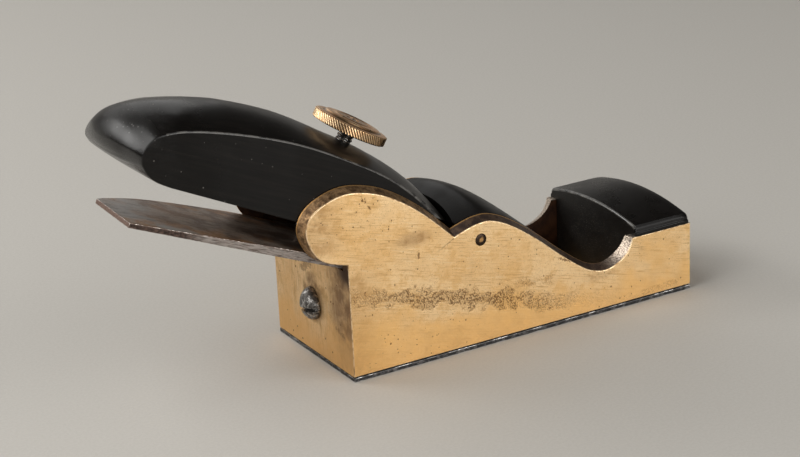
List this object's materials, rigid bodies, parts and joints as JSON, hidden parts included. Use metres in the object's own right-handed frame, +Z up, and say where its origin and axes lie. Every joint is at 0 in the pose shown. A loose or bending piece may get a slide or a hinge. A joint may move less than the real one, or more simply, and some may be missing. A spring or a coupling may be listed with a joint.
{
  "type": "block plane",
  "caption": "Low-angle infill block plane: gunmetal body on a steel sole, ebony infills, an adjustable iron held by a wooden lever and a brass thumbscrew.",
  "frame": {"origin": "the middle of the sole's underside, halfway between heel and toe and between the two cheeks", "axes": "+X points from heel to toe, +Z up away from the work, +Y to the plane's left side"},
  "size_m": [0.1745, 0.0444, 0.0838],
  "materials": {
    "gunmetal": "cast gunmetal, filed and hand polished, fine scratches, small pits and a brown patina on the rims",
    "sole_steel": "ground steel, dulled, with bright scuffs along its edges",
    "ebony": "oiled ebony",
    "polished_ebony": "near-black ebony, French polished, with dust and worn edges",
    "steel": "dark oxidised steel, bright on the high spots",
    "iron_steel": "brown rusted patina, pitted, with brighter worn edges",
    "brass": "turned and knurled brass, aged golden brown"
  },
  "bodies": {
    "body": {"body_casting": "gunmetal", "sole_plate": "sole_steel", "sole_rivet_1": "sole_steel", "sole_rivet_2": "sole_steel", "sole_rivet_3": "sole_steel", "sole_rivet_4": "sole_steel", "sole_rivet_5": "sole_steel", "sole_rivet_6": "sole_steel", "bed_infill": "ebony", "heel_screw": "steel", "bridge": "polished_ebony", "bridge_pin": "brass", "toe_bun": "polished_ebony", "toe_screw": "steel"},
    "blade": {"iron": "iron_steel"},
    "lever": {"lever_cap": "polished_ebony", "lever_screw_bush": "brass"},
    "screw": {"thumbscrew_shank": "steel"},
    "wheel": {"thumbscrew_wheel": "brass"}
  },
  "joints": [
    {"name": "iron_slide", "type": "slide", "parent": "body", "child": "blade", "axis": [-0.9239, 0, 0.3827], "range_m": [-0.001, 0.085]},
    {"name": "lever_slide", "type": "slide", "parent": "body", "child": "lever", "axis": [-0.9239, 0, 0.3827], "range_m": [0, 0.045]},
    {"name": "screw_travel", "type": "slide", "parent": "lever", "child": "screw", "axis": [0.4895, -0.078, 0.8685], "range_m": [0, 0.0058]},
    {"name": "screw_turn", "type": "hinge", "parent": "screw", "child": "wheel", "pos_m": [-0.0429, -0.001, 0.06525], "axis": [0.4895, -0.078, 0.8685], "range_deg": [0, 1980]}
  ],
  "couplings": [
    {"joint": "screw_turn", "follows": "screw_travel", "rad_per_m": 5936.9}
  ]
}
